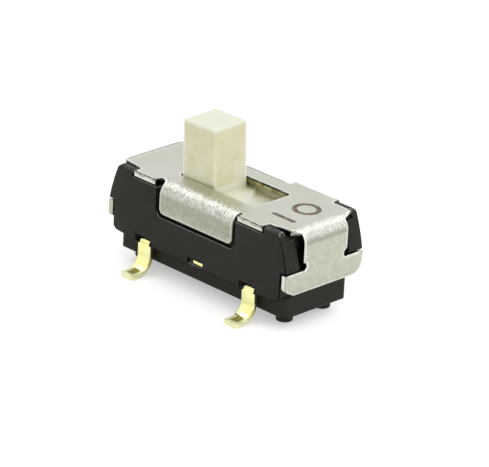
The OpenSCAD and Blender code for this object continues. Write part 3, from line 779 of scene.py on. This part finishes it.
def arc(centre, radius, start, stop, steps=8):
    """Points round part of a circle, angles in degrees."""
    turn = [math.radians(start + (stop - start) * i / steps) for i in range(steps + 1)]
    return [(centre[0] + radius * math.cos(t), centre[1] + radius * math.sin(t)) for t in turn]


def flap_edge(middle, half):
    """One flap and its relief notches, from left to right, drawn for the near side."""
    left, right = middle - half, middle + half
    mouth = NOTCH_W / 2 - NOTCH_DEPTH + COVER_HALF_W
    points = [(left - NOTCH_W, -COVER_HALF_W)]
    points += arc((left - NOTCH_W / 2, -mouth), NOTCH_W / 2, 180, 0, 14)
    points += arc((left + FLAP_R, FLAP_R - FLAP_END), FLAP_R, 180, 270)
    points += arc((right - FLAP_R, FLAP_R - FLAP_END), FLAP_R, 270, 360)
    points += arc((right + NOTCH_W / 2, -mouth), NOTCH_W / 2, 180, 0, 14)
    points += [(right + NOTCH_W, -COVER_HALF_W)]
    return points


def unrolled(x):
    """Distance along the flat sheet of a place that lies at x on an end bend."""
    return FLAT_X + BEND * math.asin((x - FLAT_X) / BEND)


def round_corner(before, corner, after, radius, steps=6):
    """The arc that rounds a corner between two straight runs."""
    before, corner, after = Vector(before), Vector(corner), Vector(after)
    come, leave = (corner - before).normalized(), (after - corner).normalized()
    turn = math.atan2(come.cross(leave), come.dot(leave))
    aside = Vector((-come.y, come.x)) * math.copysign(radius, turn)
    centre = corner - come * radius * math.tan(abs(turn) / 2) + aside
    points = []
    for i in range(steps + 1):
        t = turn * i / steps
        spoke = Vector((-aside.x * math.cos(t) + aside.y * math.sin(t),
                        -aside.x * math.sin(t) - aside.y * math.cos(t)))
        points.append(tuple(centre + spoke))
    return points


def corner_edge(start_y, tip_y, neck_y, bar_cut):
    """From the near strip's right end, round the shoulder and down the neck to the bar's middle."""
    past = math.degrees(math.acos(RELIEF_OVER))
    strip_end = (STRIP_X, -COVER_HALF_W)
    start = (STRIP_X, -start_y)
    tip = (unrolled(TIP_X), -tip_y)
    neck = (unrolled(TIP_X + TIP_SLANT), -neck_y)
    cut_w, cut_h, cut_r = bar_cut
    bar_side = (BAR_U + BAR_H - cut_h, -COVER_HALF_W)
    bar_foot = (BAR_U + BAR_H, cut_w - COVER_HALF_W)
    points = [strip_end]
    points += round_corner(strip_end, start, tip, FILLET_R)
    points += round_corner(start, tip, neck, TIP_R)
    points += round_corner(tip, neck, (RELIEF_U, -neck_y), NECK_R)
    points += arc((RELIEF_U, -neck_y), RELIEF_R, 180, -past, 18)
    points += [(BAR_U, -COVER_HALF_W)]
    points += round_corner((BAR_U, -COVER_HALF_W), bar_side, bar_foot, cut_r)
    points += round_corner(bar_side, bar_foot, (BAR_U + BAR_H, 0), cut_r)
    return points


def flipped(points, x=1, y=1):
    """The same edge on another corner, run the other way round so that the outline goes on."""
    turned = [(x * u, y * v) for u, v in points]
    return turned if x * y > 0 else turned[::-1]


def cover_outline():
    near, far = FLAPS
    return (
        flap_edge(near[1], near[2])
        + corner_edge(*NEAR_RIGHT)
        + flipped(corner_edge(*FAR_RIGHT), y=-1)
        + flipped(flap_edge(far[1], far[2]), y=-1)
        + flipped(corner_edge(*FAR_LEFT), x=-1, y=-1)
        + flipped(corner_edge(*NEAR_LEFT), x=-1)
    )


def slot_outline():
    left, right = SLOT_X - SLOT_HALF_L + SLOT_R, SLOT_X + SLOT_HALF_L - SLOT_R
    y = SLOT_HALF_W - SLOT_R
    return (arc((left, -y), SLOT_R, 270, 180) + arc((left, y), SLOT_R, 180, 90)
            + arc((right, y), SLOT_R, 90, 0) + arc((right, -y), SLOT_R, 0, -90))


def even_steps(points):
    """The closed outline with its long runs divided, and no two points in one place."""
    stepped = []
    for here, there in zip(points, points[1:] + points[:1]):
        run = math.dist(here, there)
        if run < 1e-5:
            continue
        count = max(1, math.ceil(run / OUTLINE_STEP))
        stepped += [tuple(h + (t - h) * i / count for h, t in zip(here, there)) for i in range(count)]
    return stepped


def inset(points, width):
    """The closed outline moved in by a width, to its left as it runs."""
    moved = []
    for before, here, after in zip(points[-1:] + points[:-1], points, points[1:] + points[:1]):
        come = Vector(here) - Vector(before)
        leave = Vector(after) - Vector(here)
        left = Vector((-come.y, come.x)).normalized() + Vector((-leave.y, leave.x)).normalized()
        left.normalize()
        lean = max(0.5, left.dot(Vector((-come.y, come.x)).normalized()))
        moved.append(tuple(Vector(here) + left * width / lean))
    return moved


def ease(value, low, high):
    share = min(1.0, max(0.0, (value - low) / (high - low)))
    return share * share * (3 - 2 * share)


def bulge(turn, most):
    """How far a bend stands out past round, most at 45 degrees, both outwards and upwards."""
    return most * math.sin(2 * turn) ** 2 * math.sqrt(0.5)


def folded(u, v, depth):
    """Where a point of the flat sheet goes, at a depth below its outer face."""
    x, y, z = u, v, COVER_TOP
    normal = Vector((0, 0, 1))
    if abs(u) > FLAT_X:
        side = math.copysign(1, u)
        run = abs(u) - FLAT_X
        turn = min(run, ROUND_BEND) / BEND
        fuller = bulge(turn, LEFT_FULLER) if side < 0 else 0.0
        x = side * (FLAT_X + BEND * math.sin(turn) + fuller)
        z += fuller - BEND * (1 - math.cos(turn)) - max(0.0, run - ROUND_BEND)
        normal = Vector((side * math.sin(turn), 0, math.cos(turn)))
    elif abs(v) > FLAT_Y:
        side, middle, half = FLAPS[0] if v < 0 else FLAPS[1]
        share = 1 - ease(abs(u - middle) - half, 0.0, NOTCH_W * 0.95)
        if share > 0:
            run = abs(v) - FLAT_Y
            turn = share * min(run, ROUND_BEND) / BEND
            fuller = bulge(turn, FAR_FULLER) if v > 0 else 0.0
            y = side * (FLAT_Y + BEND / share * math.sin(turn) + fuller)
            z += fuller - BEND / share * (1 - math.cos(turn)) - max(0.0, run - ROUND_BEND) * share
            normal = Vector((0, side * math.sin(turn), math.cos(turn)))
    return Vector((x, y, z)) - normal * depth


def grid_lines(end, fold, coarse, fine):
    """Places of the sheet's inner rows: close together round the fold, wider on the flats."""
    bend_rows = [fold + i * fine for i in range(-1, math.ceil(ROUND_BEND / fine) + 2)]
    flat_rows = [i * coarse for i in range(int((fold - fine) / coarse))]
    last_rows = [bend_rows[-1] + coarse * (i + 1) for i in range(int((end - bend_rows[-1]) / coarse))]
    half = flat_rows + bend_rows + last_rows
    return sorted(set([-place for place in half] + half))


def hidden_cut(u, v):
    """Whether the sheet's edge here stands deep between the sheet and the moulding."""
    u, v = abs(u), abs(v)
    on_strip = v > COVER_HALF_W - SLACK and u < STRIP_X + SLACK
    on_tip = unrolled(TIP_X) - TIP_SLACK < u < unrolled(TIP_X + TIP_SLANT) + TIP_SLACK
    return not (on_strip or on_tip or v > COVER_HALF_W + SLACK or u > BAR_U - SLACK)


def on_sheet(point, rim, hole):
    return inside(point, rim) and not inside(point, hole)


def flat_sheet(rim, hole):
    """Points and triangles of the flat sheet between the two closed borders, whose points come first."""
    border = [Vector(p) for p in rim + hole]
    edges = [(i, (i + 1) % len(rim)) for i in range(len(rim))]
    edges += [(len(rim) + i, len(rim) + (i + 1) % len(hole)) for i in range(len(hole))]
    rows_u = grid_lines(BAR_U + BAR_H, FLAT_X, ROW_GAP_U, BEND_GAP)
    rows_v = grid_lines(FLAP_END, FLAT_Y, ROW_GAP_V, BEND_GAP)
    inner = [
        Vector((u, v)) for u in rows_u for v in rows_v
        if on_sheet((u, v), rim, hole) and all(math.dist((u, v), p) > ROW_ROOM for p in rim + hole)
    ]
    flat, _, faces, *_ = delaunay_2d_cdt(border + inner, edges, [], 1, 1e-6)
    return flat, [face for face in faces if on_sheet(face_middle(flat, face), rim, hole)]


def sheet_mesh():
    """The folded sheet: outer and inner face, and an edge that is rolled outside and crisp inside."""
    outer, slot = even_steps(cover_outline()), even_steps(slot_outline())
    # depth below the outer face and distance in from the cut, from the outer face to the inner one
    quarter = [math.radians(a) for a in (0, 22.5, 45, 67.5, 90)]
    section = [(ROLL_R * (1 - math.cos(t)), ROLL_R * (1 - math.sin(t))) for t in quarter]
    section += [(0.45 * SHEET_T, 0.0), (0.7 * SHEET_T, CUT_BACK),
                (SHEET_T - CUT_CORNER, CUT_BACK), (SHEET_T, CUT_BACK + CUT_CORNER)]
    layer_of = ["rim"] + ["rounded"] * 4 + ["cut_face"] * 4 + [None]
    rim, hole = inset(outer, ROLL_R + RIM_W), inset(slot, ROLL_R + RIM_W)
    flat, faces = flat_sheet(rim, hole)

    shape = bmesh.new()
    layers = {key: shape.faces.layers.float.new(key) for key in ("rim", "rounded", "cut_face", "deep")}
    outside = [shape.verts.new(folded(p.x, p.y, 0.0)) for p in flat]
    underside = [shape.verts.new(folded(p.x, p.y, SHEET_T)) for p in flat]
    for face in faces:
        shape.faces.new([outside[i] for i in face])
        shape.faces.new([underside[i] for i in reversed(face)])
    for line, first in ((outer, 0), (slot, len(rim))):
        span = range(first, first + len(line))
        rings = [[outside[i] for i in span]]
        for depth, back in section:
            rings.append([shape.verts.new(folded(u, v, depth)) for u, v in inset(line, back)])
        rings.append([underside[i] for i in span])
        deep = [line is outer and hidden_cut(u, v) for u, v in line]
        for layer, upper, lower in zip(layer_of, rings, rings[1:]):
            for i in range(len(line)):
                j = (i + 1) % len(line)
                face = shape.faces.new((upper[j], upper[i], lower[i], lower[j]))
                if layer == "cut_face" and deep[i]:
                    face[layers["deep"]] = 1.0
                elif layer:
                    # the painted highlight line is fainter where the edge is open to the eye
                    face[layers[layer]] = OPEN_RIM if layer == "rim" and not deep[i] else 1.0
    bmesh.ops.recalc_face_normals(shape, faces=shape.faces)
    return shape


def settle_knob(shape):
    """Sets the knob as the slot's play lets it stand, and narrows it towards its top."""
    c, s = math.cos(KNOB_TURN), math.sin(KNOB_TURN)
    for vert in shape.verts:
        x, y, z = vert.co.x - KNOB_X, vert.co.y, vert.co.z
        past_side = max(abs(x) - KNOB_L / 2, abs(y) - KNOB_W / 2)
        if past_side > KNOB_ROOM or z < KNOB_FOOT:
            continue
        over_cover = z - COVER_TOP
        narrow = 1 - KNOB_DRAFT * max(0.0, over_cover)
        x, y = x * narrow, y * narrow
        vert.co.x = KNOB_X + c * x - s * y - KNOB_LEAN * over_cover
        vert.co.y = s * x + c * y


LEAST_SLANT = 0.05


def make_slider():
    shape = cad_mesh("slider")
    soften_edges(shape, SLIDER_EDGE)
    # the slanting faces over the cover are the knob's corners, which get painted highlights like its edges
    mark = shape.faces.layers.float["rounded"]
    for face in shape.faces:
        slant = min(abs(face.normal.x), abs(face.normal.y))
        if face.calc_center_median().z > COVER_TOP and slant > LEAST_SLANT:
            face[mark] = 1.0
    settle_knob(shape)
    finished_piece(shape, "ivory_slider", "slider", MOVING, IVORY)


def make_softened(name, node, body, material, width, segments=3):
    shape = cad_mesh(node)
    soften_edges(shape, width, segments)
    finished_piece(shape, name, node, body, material)


finished_piece(sheet_mesh(), "steel_cover", "cover", STILL, STEEL)
make_softened("moulded_base", "base", STILL, BLACK, BASE_EDGE)
make_slider()
for node in ("left_terminal", "right_terminal", "common_terminal"):
    make_softened("gilt_" + node, node, STILL, GILT, TERMINAL_EDGE, 2)
make_softened("spring_contact", "moving_contact", MOVING, SPRING, CONTACT_EDGE, 2)

# ---------------------------------------------------------------- floor, light and camera


FLOOR_R, FLOOR_Z = 0.6, -2e-5
# light that the floor adds for the eye and in reflections, and the room's strength as a light
FLOOR_SEEN, FLOOR_MIRRORED, ROOM_LIGHT = 0.42, 0.15, 0.76


def make_floor():
    """A plain white sheet under the switch, bright to the eye and still able to show its shadow."""
    shape = bmesh.new()
    bmesh.ops.create_circle(shape, cap_ends=True, radius=FLOOR_R, segments=96)
    mesh = bpy.data.meshes.new("floor")
    shape.to_mesh(mesh)
    shape.free()
    floor = bpy.data.objects.new("floor", mesh)
    floor.location.z = FLOOR_Z
    bpy.context.scene.collection.objects.link(floor)
    material = bpy.data.materials.new("white_sheet")
    material.use_nodes = True
    material.node_tree.nodes.clear()
    wires = Wiring(material.node_tree)
    sheet = wires.add("BsdfPrincipled", {"Base Color": rgb(0.9, 0.9, 0.9), "Roughness": 0.9})
    sheet.inputs["Specular IOR Level"].default_value = 0.0
    path = wires.add("LightPath").outputs
    strength = wires.times(path["Is Camera Ray"], FLOOR_SEEN)
    strength = wires.math("MULTIPLY_ADD", path["Is Glossy Ray"], FLOOR_MIRRORED, strength)
    glow = wires.add("Emission", {"Color": rgb(1, 1, 1), "Strength": strength})
    both = wires.add("AddShader", {0: sheet.outputs[0], 1: glow.outputs[0]})
    wires.add("OutputMaterial", {"Surface": both.outputs[0]})
    mesh.materials.append(material)


def make_world():
    """An even white surround. The eye and mirror-like surfaces see it at full strength."""
    world = bpy.data.worlds.new("white_room")
    bpy.context.scene.world = world
    world.use_nodes = True
    world.node_tree.nodes.clear()
    wires = Wiring(world.node_tree)
    path = wires.add("LightPath").outputs
    seen = wires.math("MAXIMUM", path["Is Camera Ray"], path["Is Glossy Ray"])
    seen = wires.math("MAXIMUM", seen, path["Is Transmission Ray"])
    strength = wires.math("MULTIPLY_ADD", seen, 1 - ROOM_LIGHT, ROOM_LIGHT)
    room = wires.add("Background", {"Color": rgb(1.0, 1.0, 0.99), "Strength": strength})
    wires.add("OutputWorld", {"Surface": room.outputs[0]})


def add_lamp(name, azimuth, elevation, size, power):
    """A square soft box that looks at the middle of the switch. Azimuth 0 is in front of the near side."""
    a, e = math.radians(azimuth), math.radians(elevation)
    away = Vector((math.sin(a) * math.cos(e), -math.cos(a) * math.cos(e), math.sin(e)))
    lamp = bpy.data.lights.new(name, "AREA")
    lamp.shape = "SQUARE"
    lamp.size = size
    lamp.energy = power
    holder = bpy.data.objects.new(name, lamp)
    holder.location = TARGET + away * LAMP_DISTANCE
    holder.rotation_euler = away.to_track_quat("Z", "Y").to_euler()
    bpy.context.scene.collection.objects.link(holder)


# the point that the camera looks at, and where it stands from there
TARGET = Vector((0.0, -0.03, 1.7)) * MM
AZIMUTH, ELEVATION, ROLL = math.radians(44.52), math.radians(23.03), math.radians(2.90)
DISTANCE = 138.8 * MM
# the frame, the lens and the point it looks at straight on, all in the frame's own units
FRAME_W, FRAME_H = 489, 467
FOCAL = 4136.95
CENTRE_X, CENTRE_Y = 233.18, 236.77
SENSOR_W = 36.0
LAMP_DISTANCE = 0.16
# soft boxes: name, azimuth and elevation in degrees, width in metres, power in watts
LAMPS = (
    ("left_box", -75, 50, 0.07, 0.026),
    ("back_box", 165, 50, 0.07, 0.026),
    ("right_box", 80, 32, 0.12, 0.052),
)


def make_camera():
    back = Vector((
        math.sin(AZIMUTH) * math.cos(ELEVATION),
        -math.cos(AZIMUTH) * math.cos(ELEVATION),
        math.sin(ELEVATION),
    ))
    right = Vector((math.cos(AZIMUTH), math.sin(AZIMUTH), 0))
    up = back.cross(right)
    c, s = math.cos(ROLL), math.sin(ROLL)
    axes = Matrix((c * right + s * up, c * up - s * right, back)).transposed()
    camera = bpy.data.objects.new("camera", bpy.data.cameras.new("camera"))
    camera.matrix_world = Matrix.Translation(TARGET + back * DISTANCE) @ axes.to_4x4()
    camera.data.sensor_width = SENSOR_W
    camera.data.lens = FOCAL / FRAME_W * SENSOR_W
    camera.data.shift_x = (FRAME_W / 2 - CENTRE_X) / FRAME_W
    camera.data.shift_y = (CENTRE_Y - FRAME_H / 2) / FRAME_W
    camera.data.clip_start = 0.001
    camera.data.clip_end = 10.0
    bpy.context.scene.collection.objects.link(camera)
    bpy.context.scene.camera = camera


make_floor()
make_world()
for lamp in LAMPS:
    add_lamp(*lamp)
make_camera()
bpy.context.scene.view_settings.view_transform = "Standard"
